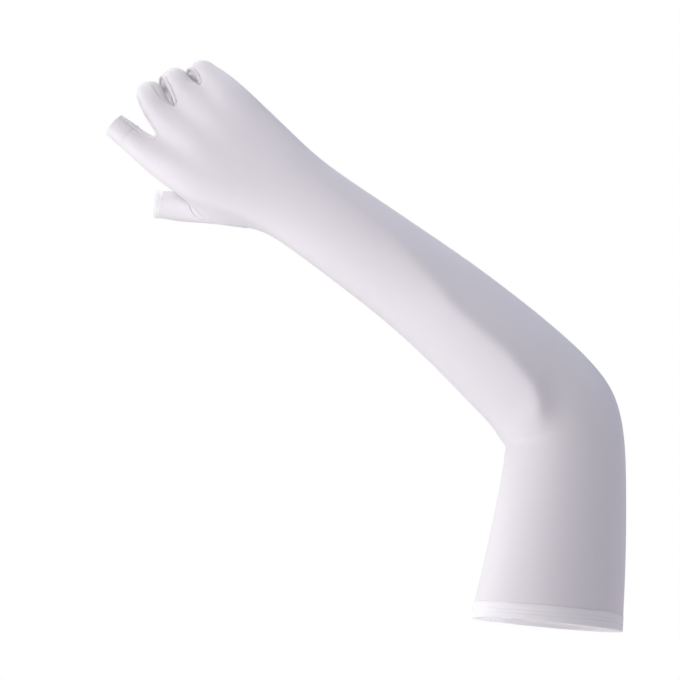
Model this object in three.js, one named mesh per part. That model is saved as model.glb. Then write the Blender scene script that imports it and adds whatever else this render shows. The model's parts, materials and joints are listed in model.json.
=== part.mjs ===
// Long stretch sleeve for a bent right arm, ending in a glove with an open thumb and an open index finger.
// A cage of four-sided faces follows the arm, hand, fingers and thumb. It is rounded once by Catmull-Clark
// subdivision, cut along its seams into panels, and each panel is given the thickness of its cloth.
// Millimetres. The origin is the centre of the upper arm opening, just inside its rim, +Z runs up the upper
// arm, -X points to the hand and -Y is the side of the back of the hand.
import * as THREE from "three";

// Cloth
const CLOTH = 1.2;
const DOUBLED_CLOTH = 2.0;
const DOUBLED_PROUD = 0.4;
const SEAM_GAP = 0.3;
const SHARP_SEAM = 0.12;

// Line of the arm: straight upper arm, round bend at the elbow, straight forearm and hand
const UPPER_ARM_LENGTH = 107.5;
const ELBOW_RADIUS = 50;
const ELBOW_ANGLE = THREE.MathUtils.degToRad(58);
const ELBOW_LENGTH = ELBOW_RADIUS * ELBOW_ANGLE;
const WRIST = UPPER_ARM_LENGTH + ELBOW_LENGTH + 192.5;

// Rings of the arm and hand
const RING_COLUMNS = 20;
const HALF_RING = RING_COLUMNS / 2;
const HAND_SPREAD = 0.93;
const ROUND_POWER = 2;
const FLAT_POWER = 2.7;
const ROUND_FINGER = 8;

// Sections from the rim to the knuckles. along: distance from the origin on the line of the arm. shift:
// offset of the middle of the section from that line, to the little finger side. half: half width. back,
// palm: reach of the cloth to the back and to the palm. flat: 0 for a round arm, 1 for a flat hand.
const SECTIONS = [
  { along: -2, shift: 0, half: 50, back: 43, palm: 43, flat: 0 },
  { along: 5.7, shift: 0.4, half: 49.7, back: 42.8, palm: 42.8, flat: 0 },
  { along: 28, shift: 2, half: 47.6, back: 42, palm: 42, flat: 0 },
  { along: 60, shift: 3.2, half: 44.7, back: 40.4, palm: 40.4, flat: 0 },
  { along: 92, shift: 3.6, half: 41.6, back: 38.5, palm: 38.5, flat: 0 },
  { along: 107, shift: 3.4, half: 40.4, back: 37.5, palm: 37.5, flat: 0 },
  { along: 120, shift: 3.2, half: 40.4, back: 36.5, palm: 36.5, flat: 0 },
  { along: 134, shift: 4.2, half: 41.4, back: 36.5, palm: 36.5, flat: 0 },
  { along: 148, shift: 3, half: 39.8, back: 36.5, palm: 36.5, flat: 0 },
  { along: 162, shift: 4.4, half: 38.8, back: 37, palm: 37, flat: 0 },
  { along: 182, shift: 6.5, half: 37.9, back: 37, palm: 37, flat: 0 },
  { along: 208, shift: 8.9, half: 36.1, back: 35.5, palm: 35.5, flat: 0 },
  { along: 242, shift: 11.2, half: 33.8, back: 32, palm: 32, flat: 0 },
  { along: 278, shift: 11.2, half: 32, back: 28, palm: 28, flat: 0 },
  { along: 314, shift: 10.3, half: 31.2, back: 23.5, palm: 23.5, flat: 0 },
  { along: 348, shift: 9.2, half: 30.2, back: 20, palm: 20, flat: 0 },
  { along: 370, shift: 8.6, half: 31.4, back: 18.5, palm: 20, flat: 0.3 },
  { along: 390, shift: 6.6, half: 36.2, back: 17, palm: 19.5, flat: 0.6 },
  { along: 412, shift: 4.2, half: 41.4, back: 16, palm: 17.5, flat: 0.9 },
  { along: 434, shift: 4.8, half: 43.6, back: 14.5, palm: 15.5, flat: 1 },
];
const HEM_ROWS = 1;
const THUMB_ROWS = [16, 18];
const THUMB_COLUMNS = [17, 19];
const KNUCKLE_RISE = 1.6;

// Fingers, from index to little. along, across, height: knuckle on the line of the arm. splay: turn towards
// the thumb side. roll: turn of the finger that leans its curl to the thumb. bends: flexion at the three
// joints in degrees. reach: distances of the second and third joint from the knuckle.
const FINGERS = [
  { along: 435, across: 27.2, height: -1, splay: -2, roll: -10, bends: [10, -7, 0], reach: [38, 70] },
  { along: 438, across: 3.8, height: 0, splay: -16.2, roll: 5, bends: [15, 84, 34], reach: [51, 77] },
  { along: 436, across: -16, height: -1, splay: -14.4, roll: 10, bends: [16, 86, 34], reach: [45, 70] },
  { along: 432, across: -35.2, height: -3, splay: -11.5, roll: 12, bends: [15, 80, 34], reach: [36, 56] },
];
// Corners that a finger base shares with the next and with the previous finger
const WEB_PARTNERS = { next: { 2: 0, 3: 7, 4: 6 }, previous: { 0: 2, 7: 3, 6: 4 } };
const FINGER_SIDES = ["back", "back", "little", "little", "palm", "palm", "thumb", "thumb"];
const BEND_LENGTH = 18;
const WALK_STEP = 0.5;
const ROLL_START = 20;

// Rings of each finger. at: distance from the knuckle. wide, thick: half sizes of the finger in its cloth.
// lean: offset of the ring to the thumb side. skew: offset of its palm side to the little finger side. turn:
// degrees by which the seams on the ring lie further round to the palm on the thumb side.
const FINGER_RINGS = [
  [
    { at: 16, wide: 10.4, thick: 11.4, lean: 1.5, skew: 2 },
    { at: 29.5, wide: 9.8, thick: 9.9, lean: 1, skew: 3, turn: 6 },
    { at: 40, wide: 8.9, thick: 9.2, lean: 0.8, skew: 3, turn: 8 },
    { at: 46.5, wide: 8.3, thick: 8.6, lean: 0.5, skew: 2.5, turn: 8 },
    { at: 52.5, wide: 7.9, thick: 8.2, lean: 0.2, skew: 2, turn: 8 },
  ],
  [
    { at: 19.5, wide: 9.4, thick: 11.2, lean: 5.6, skew: 2.5 },
    { at: 34, wide: 10, thick: 9.6, lean: 6.8, skew: 3.5, turn: 18 },
    { at: 49.5, wide: 9.9, thick: 9.6, lean: 2, skew: 2, turn: 25 },
    { at: 61, wide: 8.4, thick: 8.6, turn: 25 },
    { at: 75, wide: 8, thick: 7.8, turn: 25 },
    { at: 88, wide: 7.4, thick: 6.8, turn: 25 },
  ],
  [
    { at: 24, wide: 10.7, thick: 10.4, lean: 2, skew: 2.5 },
    { at: 33.5, wide: 9, thick: 9.4, lean: 2.6, skew: 2.5 },
    { at: 44, wide: 8.7, thick: 9.4, skew: 2 },
    { at: 54, wide: 8.2, thick: 8.4 },
    { at: 67, wide: 7.8, thick: 7.6 },
    { at: 80, wide: 7.2, thick: 6.6 },
  ],
  [
    { at: 22, wide: 10.1, thick: 9.8, lean: 0.6, skew: 1.5 },
    { at: 29, wide: 8, thick: 8.6, lean: 0.9, skew: 2.5 },
    { at: 35.5, wide: 8, thick: 8.6, skew: 1 },
    { at: 44, wide: 7.6, thick: 7.8 },
    { at: 54, wide: 7.2, thick: 7 },
    { at: 64, wide: 6.6, thick: 6.2 },
  ],
];
const TIP_REACH = 4.5;
const INDEX_EDGE_RINGS = 2;

// Corners of the hand that make the root of the thumb, and the rings of the thumb. along, across, height:
// place on the line of the arm. half: half width.
const THUMB_ROOT = [
  { row: 16, column: 19, along: 371, across: 23, height: -9 },
  { row: 17, column: 19, along: 393, across: 40, height: -16 },
  { row: 18, column: 19, along: 412, across: 37, height: -11 },
  { row: 18, column: 18, along: 413, across: 27, height: -17 },
];
const THUMB_RINGS = [
  { along: 417.5, across: 37.7, height: -25, half: 10.9 },
  { along: 424.8, across: 42.2, height: -26.4, half: 9.9 },
  { along: 431.2, across: 45.9, height: -27.3, half: 9.4 },
  { along: 434.8, across: 47.9, height: -27.6, half: 9.2 },
];
const THUMB_EDGE_RINGS = 1;
const THUMB_FIRST_ANGLE = 5;

// Panels and their names
const BODY = "sleeve_body";
const HEM = "hem_band";
const THUMB = "thumb_stall";
const THUMB_EDGE = "thumb_edge";
const INDEX_EDGE = "index_edge";
const FOURCHETTES = ["fourchette_index_middle", "fourchette_middle_ring", "fourchette_ring_little"];
const PANELS = [
  { name: BODY, thickness: CLOTH, proud: 0, color: 0xe9e7ec },
  { name: HEM, thickness: DOUBLED_CLOTH, proud: DOUBLED_PROUD, color: 0xf0eef2 },
  { name: THUMB, thickness: CLOTH, proud: 0, color: 0xe8e6eb },
  { name: THUMB_EDGE, thickness: DOUBLED_CLOTH, proud: DOUBLED_PROUD, color: 0xf1eff3 },
  { name: INDEX_EDGE, thickness: DOUBLED_CLOTH, proud: DOUBLED_PROUD, color: 0xf0eef2 },
  ...FOURCHETTES.map((name) => ({ name, thickness: CLOTH, proud: 0, color: 0xe4e2e9 })),
];

// Place and directions of the line of the arm at a distance from the origin.
function armFrame(along) {
  const bend = THREE.MathUtils.clamp((along - UPPER_ARM_LENGTH) / ELBOW_RADIUS, 0, ELBOW_ANGLE);
  const forward = new THREE.Vector3(-Math.sin(bend), 0, Math.cos(bend));
  const thumbward = new THREE.Vector3(-Math.cos(bend), 0, -Math.sin(bend));
  const backward = new THREE.Vector3(0, -1, 0);
  const place = new THREE.Vector3(-ELBOW_RADIUS, 0, UPPER_ARM_LENGTH);
  place.addScaledVector(thumbward, -ELBOW_RADIUS);
  const beforeBend = Math.min(along - UPPER_ARM_LENGTH, 0);
  const afterBend = Math.max(along - UPPER_ARM_LENGTH - ELBOW_LENGTH, 0);
  place.addScaledVector(forward, beforeBend + afterBend);
  return { place, forward, thumbward, backward };
}

// Point given by its distance along the arm, and its offsets to the thumb side and to the back of the hand.
function armPoint(along, across, height) {
  const frame = armFrame(along);
  return frame.place.addScaledVector(frame.thumbward, across).addScaledVector(frame.backward, height);
}

// Point of one column of a section. Columns run from the thumb side over the back to the little finger side.
function sectionPoint(section, column) {
  const folded = column <= HALF_RING ? column : RING_COLUMNS - column;
  const round = Math.cos((folded / HALF_RING) * Math.PI);
  const spread = HAND_SPREAD * (1 - (folded - 1) / (HALF_RING / 2 - 1));
  const onEdge = folded === 0 || folded === HALF_RING;
  const share = onEdge ? round : THREE.MathUtils.lerp(round, spread, section.flat);
  const power = THREE.MathUtils.lerp(ROUND_POWER, FLAT_POWER, section.flat);
  const lift = onEdge ? 0 : (1 - Math.abs(share) ** power) ** (1 / power);
  const across = share * section.half - section.shift;
  const height = column <= HALF_RING ? lift * section.back : -lift * section.palm;
  return armPoint(section.along, across, height);
}

// Directions of a finger behind its second joint: forward along it, to its thumb side, and out of its back.
function fingerFrame(finger) {
  const frame = armFrame(finger.along);
  const splay = THREE.MathUtils.degToRad(finger.splay);
  const bend = THREE.MathUtils.degToRad(finger.bends[0]);
  const level = frame.forward.clone().multiplyScalar(Math.cos(splay));
  level.addScaledVector(frame.thumbward, Math.sin(splay));
  const thumbward = new THREE.Vector3().crossVectors(frame.backward, level);
  const forward = level.multiplyScalar(Math.cos(bend)).addScaledVector(frame.backward, -Math.sin(bend));
  const over = new THREE.Vector3().crossVectors(forward, thumbward);
  return { forward, thumbward, over };
}

// Flexion of a finger past its knuckle, at a distance from the knuckle, in radians.
function flexion(finger, at) {
  const half = BEND_LENGTH / 2;
  const atSecond = THREE.MathUtils.smoothstep(at, finger.reach[0] - half, finger.reach[0] + half);
  const atThird = THREE.MathUtils.smoothstep(at, finger.reach[1] - half, finger.reach[1] + half);
  return THREE.MathUtils.degToRad(finger.bends[1] * atSecond + finger.bends[2] * atThird);
}

// Centre and directions of a finger at a distance from its knuckle.
function fingerStation(finger, at) {
  const { forward, thumbward, over } = fingerFrame(finger);
  const roll = THREE.MathUtils.degToRad(finger.roll);
  const curl = over.clone().multiplyScalar(-Math.cos(roll)).addScaledVector(thumbward, Math.sin(roll));
  const heading = (angle) => {
    return forward.clone().multiplyScalar(Math.cos(angle)).addScaledVector(curl, Math.sin(angle));
  };
  const place = armPoint(finger.along, finger.across, finger.height);
  const steps = Math.round(at / WALK_STEP);
  for (let step = 0; step < steps; step += 1) {
    place.addScaledVector(heading(flexion(finger, (step + 0.5) * WALK_STEP)), WALK_STEP);
  }
  const ahead = heading(flexion(finger, at));
  const turned = roll * THREE.MathUtils.smoothstep(at, ROLL_START, finger.reach[0]);
  const side = thumbward.clone().multiplyScalar(Math.cos(turned)).addScaledVector(over, Math.sin(turned));
  const top = new THREE.Vector3().crossVectors(ahead, side).normalize();
  return { place, ahead, over: top, thumbward: new THREE.Vector3().crossVectors(top, ahead) };
}

// Cage swell that makes up for the shrinking of a ring when it is rounded once.
function swell(count) {
  return 1 / (0.75 + 0.25 * Math.cos((2 * Math.PI) / count));
}

// Cage points of one ring of a finger. They start between the thumb side and the back and run over the back.
function fingerRing(finger, ring) {
  const { place, thumbward, over } = fingerStation(finger, ring.at);
  place.addScaledVector(thumbward, ring.lean ?? 0);
  const grow = swell(ROUND_FINGER);
  const turn = THREE.MathUtils.degToRad(ring.turn ?? 0);
  return Array.from({ length: ROUND_FINGER }, (unused, index) => {
    const angle = ((index + 1) / ROUND_FINGER) * 2 * Math.PI - turn;
    const point = place.clone().addScaledVector(thumbward, Math.cos(angle) * ring.wide * grow);
    point.addScaledVector(thumbward, ((Math.sin(angle) - 1) / 2) * (ring.skew ?? 0));
    return point.addScaledVector(over, Math.sin(angle) * ring.thick * grow);
  });
}

// Centre of a thumb ring, and the direction of the thumb there.
function thumbStation(index) {
  const centre = (ring) => armPoint(ring.along, ring.across, ring.height);
  const before = centre(THUMB_RINGS[Math.max(index - 1, 0)]);
  const after = centre(THUMB_RINGS[Math.min(index + 1, THUMB_RINGS.length - 1)]);
  return { place: centre(THUMB_RINGS[index]), ahead: after.sub(before).normalize() };
}

// Cage points of one ring of the thumb. They start between its outer side and its back, and run over it.
function thumbRing(index) {
  const { place, ahead } = thumbStation(index);
  const outer = new THREE.Vector3().crossVectors(armFrame(WRIST).backward, ahead).normalize();
  const over = new THREE.Vector3().crossVectors(ahead, outer);
  const radius = THUMB_RINGS[index].half * swell(ROUND_FINGER);
  return Array.from({ length: ROUND_FINGER }, (unused, step) => {
    const angle = THREE.MathUtils.degToRad(THUMB_FIRST_ANGLE + (step * 360) / ROUND_FINGER);
    const point = place.clone().addScaledVector(outer, Math.cos(angle) * radius);
    return point.addScaledVector(over, Math.sin(angle) * radius);
  });
}

// The cage: points, and faces that each belong to a panel.
const cage = { points: [], faces: [] };

function addPoint(point) {
  cage.points.push(point);
  return cage.points.length - 1;
}

function addFace(corners, panel) {
  cage.faces.push({ corners, panel });
}

// Faces between two rings of the same count. panelOf names the panel of each column.
function addBand(lower, upper, panelOf) {
  lower.forEach((corner, column) => {
    const next = (column + 1) % lower.length;
    const panel = panelOf(column);
    if (panel) addFace([corner, lower[next], upper[next], upper[column]], panel);
  });
}

// Point of the arm or hand in the cage. Knuckles stand up, and the root of the thumb has places of its own.
function armCagePoint(row, column) {
  const root = THUMB_ROOT.find((corner) => corner.row === row && corner.column === column);
  if (root) return armPoint(root.along, root.across, root.height);
  const point = sectionPoint(SECTIONS[row], column);
  const onKnuckle = row === SECTIONS.length - 1 && column > 0 && column < HALF_RING && column % 2 === 0;
  if (onKnuckle) point.addScaledVector(armFrame(SECTIONS[row].along).backward, KNUCKLE_RISE);
  return point;
}

// Arm and hand up to the knuckles, with a hole left for the thumb.
function addArm() {
  const rows = SECTIONS.map((section, row) => {
    return Array.from({ length: RING_COLUMNS }, (unused, column) => addPoint(armCagePoint(row, column)));
  });
  for (let row = 0; row + 1 < rows.length; row += 1) {
    const besideThumb = row >= THUMB_ROWS[0] && row < THUMB_ROWS[1];
    addBand(rows[row], rows[row + 1], (column) => {
      if (besideThumb && column >= THUMB_COLUMNS[0] && column < THUMB_COLUMNS[1]) return null;
      return row < HEM_ROWS ? HEM : BODY;
    });
  }
  return rows;
}

// Base rings of the four fingers. Neighbours share the three points of the web between them.
function addFingerBases() {
  const rings = FINGERS.map((finger, index) => fingerRing(finger, FINGER_RINGS[index][0]));
  const bases = rings.map(() => []);
  rings.forEach((ring, index) => {
    ring.forEach((point, corner) => {
      if (index > 0 && corner in WEB_PARTNERS.previous) {
        bases[index][corner] = bases[index - 1][WEB_PARTNERS.previous[corner]];
        return;
      }
      const shared = index + 1 < rings.length && corner in WEB_PARTNERS.next;
      const other = shared ? rings[index + 1][WEB_PARTNERS.next[corner]] : point;
      bases[index][corner] = addPoint(point.clone().lerp(other, 0.5));
    });
  });
  return bases;
}

// Ring of the finger bases as one row of the hand, in the order of the arm columns.
function webRow(bases) {
  const row = [];
  bases.forEach((base, index) => {
    row[2 * index + 1] = base[0];
    row[2 * index + 2] = base[1];
    row[RING_COLUMNS - 1 - 2 * index] = base[6];
    row[RING_COLUMNS - 2 - 2 * index] = base[5];
  });
  const little = bases[bases.length - 1];
  row[0] = bases[0][7];
  row[HALF_RING - 1] = little[2];
  row[HALF_RING] = little[3];
  row[HALF_RING + 1] = little[4];
  return row;
}

// Panel of one column of a finger: the sides between two fingers are strips of their own.
function fingerPanel(index, column) {
  const side = FINGER_SIDES[column];
  if (side === "little" && index + 1 < FINGERS.length) return FOURCHETTES[index];
  if (side === "thumb" && index > 0) return FOURCHETTES[index - 1];
  return BODY;
}

// A finger from its base. The index finger stays open and ends in its doubled edge, the others are closed.
function addFinger(index, base) {
  const rings = FINGER_RINGS[index];
  let lower = base;
  for (let row = 1; row < rings.length; row += 1) {
    const upper = fingerRing(FINGERS[index], rings[row]).map(addPoint);
    const onEdge = index === 0 && row >= rings.length - INDEX_EDGE_RINGS;
    addBand(lower, upper, (column) => (onEdge ? INDEX_EDGE : fingerPanel(index, column)));
    lower = upper;
  }
  if (index === 0) return;
  const { place, ahead } = fingerStation(FINGERS[index], rings[rings.length - 1].at);
  const tip = addPoint(place.addScaledVector(ahead, TIP_REACH));
  for (let corner = 0; corner < ROUND_FINGER; corner += 2) {
    addFace([lower[corner], lower[corner + 1], lower[(corner + 2) % ROUND_FINGER], tip], BODY);
  }
}

// The thumb, from the hole left in the hand to its open end.
function addThumb(rows) {
  const [first, last] = THUMB_ROWS;
  const [palmColumn, backColumn] = THUMB_COLUMNS;
  const at = (row, column) => rows[row][column % RING_COLUMNS];
  let lower = [];
  for (let row = first; row < last; row += 1) lower.push(at(row, backColumn));
  for (let column = backColumn; column > palmColumn; column -= 1) lower.push(at(last, column));
  for (let row = last; row > first; row -= 1) lower.push(at(row, palmColumn));
  for (let column = palmColumn; column < backColumn; column += 1) lower.push(at(first, column));
  THUMB_RINGS.forEach((ring, index) => {
    const upper = thumbRing(index).map(addPoint);
    const onEdge = index >= THUMB_RINGS.length - THUMB_EDGE_RINGS;
    addBand(lower, upper, () => (onEdge ? THUMB_EDGE : THUMB));
    lower = upper;
  });
}

function edgeKey(from, to) {
  return from < to ? `${from}_${to}` : `${to}_${from}`;
}

function average(points) {
  const sum = new THREE.Vector3();
  points.forEach((point) => sum.add(point));
  return sum.divideScalar(points.length);
}

// Edges of a set of faces, each with its two ends and the faces on it.
function collectEdges(faces) {
  const edges = new Map();
  faces.forEach((face, index) => {
    face.corners.forEach((from, corner) => {
      const to = face.corners[(corner + 1) % face.corners.length];
      const key = edgeKey(from, to);
      if (!edges.has(key)) edges.set(key, { from, to, faces: [] });
      edges.get(key).faces.push(index);
    });
  });
  return edges;
}

// New place of a cage point: open borders follow a smooth line, all other points the rounded surface.
function roundedPoint(points, index, around, facePoints) {
  const border = around.filter((edge) => edge.faces.length === 1);
  const place = points[index];
  if (border.length > 0) {
    const ends = border.map((edge) => points[edge.from === index ? edge.to : edge.from]);
    return place.clone().multiplyScalar(0.75).addScaledVector(average(ends), 0.25);
  }
  const count = around.length;
  const touching = [...new Set(around.flatMap((edge) => edge.faces))];
  const middles = around.map((edge) => points[edge.from].clone().lerp(points[edge.to], 0.5));
  const moved = average(touching.map((face) => facePoints[face]));
  moved.addScaledVector(average(middles), 2).addScaledVector(place, count - 3);
  return moved.divideScalar(count);
}

// One step of Catmull-Clark subdivision. Each new face keeps the panel of the face it came from.
function subdivide({ points, faces }) {
  const edges = collectEdges(faces);
  const around = points.map(() => []);
  edges.forEach((edge) => {
    around[edge.from].push(edge);
    around[edge.to].push(edge);
  });
  const facePoints = faces.map((face) => average(face.corners.map((corner) => points[corner])));
  const rounded = points.map((unused, index) => roundedPoint(points, index, around[index], facePoints));
  const edgeIndex = new Map();
  edges.forEach((edge, key) => {
    const ends = [points[edge.from], points[edge.to]];
    const inner = edge.faces.length > 1 ? edge.faces.map((face) => facePoints[face]) : [];
    edgeIndex.set(key, rounded.push(average([...ends, ...inner])) - 1);
  });
  const split = [];
  faces.forEach((face, index) => {
    const middle = rounded.push(facePoints[index]) - 1;
    const { corners, panel } = face;
    corners.forEach((corner, place) => {
      const next = corners[(place + 1) % corners.length];
      const previous = corners[(place + corners.length - 1) % corners.length];
      const ahead = edgeIndex.get(edgeKey(corner, next));
      const behind = edgeIndex.get(edgeKey(previous, corner));
      split.push({ corners: [corner, ahead, middle, behind], panel });
    });
  });
  return { points: rounded, faces: split };
}

function faceNormal(points, corners) {
  const [first, second, third, fourth] = corners.map((corner) => points[corner]);
  const across = third.clone().sub(first);
  return across.cross(fourth.clone().sub(second));
}

function pointNormals({ points, faces }) {
  const normals = points.map(() => new THREE.Vector3());
  faces.forEach(({ corners }) => {
    const normal = faceNormal(points, corners);
    corners.forEach((corner) => normals[corner].add(normal));
  });
  return normals.map((normal) => normal.normalize());
}

// Shift of each point on a seam of a panel, half the seam gap into the panel and along the cloth.
function seamShifts(skin, normals, panelFaces, allEdges) {
  const shifts = new Map();
  collectEdges(panelFaces).forEach((edge, key) => {
    if (edge.faces.length > 1 || allEdges.get(key).faces.length < 2) return;
    const { corners } = panelFaces[edge.faces[0]];
    const along = skin[edge.to].clone().sub(skin[edge.from]);
    const inward = faceNormal(skin, corners).cross(along).normalize();
    [edge.from, edge.to].forEach((end) => {
      if (!shifts.has(end)) shifts.set(end, new THREE.Vector3());
      shifts.get(end).add(inward);
    });
  });
  shifts.forEach((shift, end) => {
    shift.addScaledVector(normals[end], -shift.dot(normals[end]));
    shift.multiplyScalar(SEAM_GAP / Math.max(shift.lengthSq(), SHARP_SEAM));
  });
  return shifts;
}

// Closed solid of one panel: outer skin, inner skin, and a wall along each open border. Facing walls of a
// seam are split along the same diagonal.
function panelGeometry(surface, normals, allEdges, panel) {
  const panelFaces = surface.faces.filter((face) => face.panel === panel.name);
  const used = [...new Set(panelFaces.flatMap((face) => face.corners))];
  const order = new Map(used.map((point, index) => [point, index]));
  const positions = [];
  [panel.proud, panel.proud - panel.thickness].forEach((offset) => {
    const skin = surface.points.map((point, index) => point.clone().addScaledVector(normals[index], offset));
    const shifts = seamShifts(skin, normals, panelFaces, allEdges);
    shifts.forEach((shift, index) => skin[index].add(shift));
    used.forEach((index) => positions.push(...skin[index].toArray()));
  });
  const triangles = [];
  const addQuad = (a, b, c, d) => triangles.push(a, b, c, a, c, d);
  panelFaces.forEach(({ corners }) => {
    const [a, b, c, d] = corners.map((corner) => order.get(corner));
    const count = used.length;
    addQuad(a, b, c, d);
    addQuad(a + count, d + count, c + count, b + count);
  });
  collectEdges(panelFaces).forEach((edge) => {
    if (edge.faces.length > 1) return;
    const wall = [order.get(edge.to), order.get(edge.from)];
    wall.push(wall[1] + used.length, wall[0] + used.length);
    if (edge.from < edge.to) wall.push(wall.shift());
    addQuad(...wall);
  });
  const geometry = new THREE.BufferGeometry();
  geometry.setAttribute("position", new THREE.Float32BufferAttribute(positions, 3));
  geometry.setIndex(triangles);
  geometry.computeVertexNormals();
  return geometry;
}

function buildSurface() {
  const rows = addArm();
  const bases = addFingerBases();
  addBand(rows[rows.length - 1], webRow(bases), () => BODY);
  bases.forEach((base, index) => addFinger(index, base));
  addThumb(rows);
  return subdivide(cage);
}

function buildSleeve() {
  const surface = buildSurface();
  const normals = pointNormals(surface);
  const allEdges = collectEdges(surface.faces);
  const group = new THREE.Group();
  group.name = "sun_sleeve";
  PANELS.forEach((panel) => {
    const material = new THREE.MeshStandardMaterial({ color: panel.color, roughness: 0.7, metalness: 0 });
    const mesh = new THREE.Mesh(panelGeometry(surface, normals, allEdges, panel), material);
    mesh.name = panel.name;
    group.add(mesh);
  });
  return group;
}

export default buildSleeve();
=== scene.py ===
"""Long white stretch sleeve with a glove hand: fine cloth panels, seams, stitches, studio and camera.

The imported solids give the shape. Their outer skins are welded into one smooth skin, the soft forms of the
worn cloth are pushed and pulled into it, and it is parted again along its seams into panels with thickness.
Metres, in the frame of the solids: the origin is the middle of the upper arm opening, +Z runs up the upper
arm, -X points to the hand and -Y is the side of the back of the hand.
"""
import heapq
import json
import math
from collections import Counter

import bmesh
import bpy
import numpy as np
from bpy.props import FloatProperty, FloatVectorProperty, IntProperty, PointerProperty
from mathutils import Matrix, Vector
from mathutils.bvhtree import BVHTree
from mathutils.kdtree import KDTree

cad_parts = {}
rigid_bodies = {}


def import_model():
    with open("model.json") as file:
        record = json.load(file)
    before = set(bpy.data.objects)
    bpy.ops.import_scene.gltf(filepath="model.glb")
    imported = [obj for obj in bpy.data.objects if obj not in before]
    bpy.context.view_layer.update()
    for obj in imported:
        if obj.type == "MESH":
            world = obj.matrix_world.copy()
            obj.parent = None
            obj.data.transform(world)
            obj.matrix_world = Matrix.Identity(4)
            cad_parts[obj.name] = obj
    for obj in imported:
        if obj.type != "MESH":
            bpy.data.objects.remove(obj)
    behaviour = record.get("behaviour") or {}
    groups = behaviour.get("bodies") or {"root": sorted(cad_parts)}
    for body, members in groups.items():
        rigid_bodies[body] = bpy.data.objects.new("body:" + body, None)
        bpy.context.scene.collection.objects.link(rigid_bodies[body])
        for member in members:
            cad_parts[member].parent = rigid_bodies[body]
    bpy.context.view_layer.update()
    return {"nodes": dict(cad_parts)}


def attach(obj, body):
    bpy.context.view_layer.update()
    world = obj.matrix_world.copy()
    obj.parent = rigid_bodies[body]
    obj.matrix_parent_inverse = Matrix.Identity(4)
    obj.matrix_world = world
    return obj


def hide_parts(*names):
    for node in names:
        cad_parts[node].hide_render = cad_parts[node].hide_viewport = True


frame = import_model()

bl_info = {
    "name": "Sun sleeve with glove hand",
    "version": (1, 0, 0),
    "blender": (4, 5, 0),
    "location": "View3D > Sidebar > Sleeve",
    "description": "Sews a long white stretch sleeve with a glove hand over its packed solids",
    "category": "Object",
}

MM = 0.001

# Line of the arm inside the sleeve: straight upper arm, round bend at the elbow, straight forearm and hand
UPPER_ARM = 107.5 * MM
ELBOW_RADIUS = 50 * MM
ELBOW_ANGLE = math.radians(58)
ELBOW_LENGTH = ELBOW_RADIUS * ELBOW_ANGLE
FOREARM_WAY = np.array((-math.sin(ELBOW_ANGLE), 0, math.cos(ELBOW_ANGLE)))
THUMB_WAY = np.array((-math.cos(ELBOW_ANGLE), 0, -math.sin(ELBOW_ANGLE)))
ELBOW_CENTRE = np.array((-ELBOW_RADIUS, 0, UPPER_ARM))
ELBOW_END = ELBOW_CENTRE - ELBOW_RADIUS * THUMB_WAY

# Panels. node: the solid it stands for. piece: the cloth made here. layers: 2 for a turned hem. flat and
# area: its cut before it is stretched. finer: extra smoothing steps. rise: how far a turned hem stands out.
# rows: stitch rows, from the open rim.
PANELS = (
    {
        "node": "sleeve_body", "piece": "sleeve_cloth", "slot": "knit_cloth", "layers": 1,
        "flat": (0.27, 0.56), "area": 0.084, "sewn_to": ("hem_cloth", "thumb_cloth", "index_edge_cloth"),
    },
    {
        "node": "hem_band", "piece": "hem_cloth", "slot": "doubled_cloth", "layers": 2,
        "flat": (0.27, 0.011), "area": 0.0029, "sewn_to": ("sleeve_cloth",), "finer": 2,
        "rise": 0.22 * MM, "rows": (4.0 * MM, 6.2 * MM),
    },
    {
        "node": "thumb_stall", "piece": "thumb_cloth", "slot": "knit_cloth", "layers": 1,
        "flat": (0.075, 0.05), "area": 0.0023, "sewn_to": ("sleeve_cloth",),
    },
    {
        "node": "thumb_edge", "piece": "thumb_edge_cloth", "slot": "doubled_cloth", "layers": 2,
        "flat": (0.055, 0.01), "area": 0.0003, "sewn_to": ("thumb_cloth",), "finer": 1,
        "rise": 0.12 * MM, "rows": (3.0 * MM,),
    },
    {
        "node": "index_edge", "piece": "index_edge_cloth", "slot": "knit_cloth", "layers": 2,
        "flat": (0.054, 0.013), "area": 0.0006, "sewn_to": ("sleeve_cloth",), "finer": 1,
        "rise": 0, "rows": (),
    },
    *(
        {
            "node": "fourchette_" + fingers, "piece": "fourchette_" + fingers + "_cloth",
            "slot": "knit_cloth", "layers": 1,
            "flat": (0.014, 0.1), "area": area, "sewn_to": ("sleeve_cloth",),
        }
        for fingers, area in (("index_middle", 0.00095), ("middle_ring", 0.0013), ("ring_little", 0.00093))
    ),
)
NUMBER = {panel["node"]: number for number, panel in enumerate(PANELS)}
FOURCHETTES = [panel["node"] for panel in PANELS if panel["node"].startswith("fourchette")]

# Making the skin: same point, wall thickness of the solids' hems, reach over a seam gap, smoothing steps
HEM_SOLID = 2.0 * MM
SAME_POINT = 0.01 * MM
WALL_SHARE = 1.35
SEAM_REACH = 1.15 * MM
SHARP_EDGE = math.radians(15)
SKIN_LEVELS = 2
EDGE_ROUND = 0.12 * MM
HEM_ROLL = 1.2 * MM
STITCH_FURROW = 0.5 * MM
SEAM_DIP = 1.3 * MM
ROW_SAMPLES = 720

# Rolled edges: how far a finger seam must face the thumb side and the back of the hand, and its fewest points
ROLLED_SIDE = 0.05
ROLLED_BACK = 0.3
ROLLED_POINTS = 6

# Webs between the fingers: distance from their seams, and share to the side above which they are finger sides
WEB_EDGE = (0.8 * MM, 4 * MM)
WEB_FACING = (0.8, 0.5)

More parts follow.
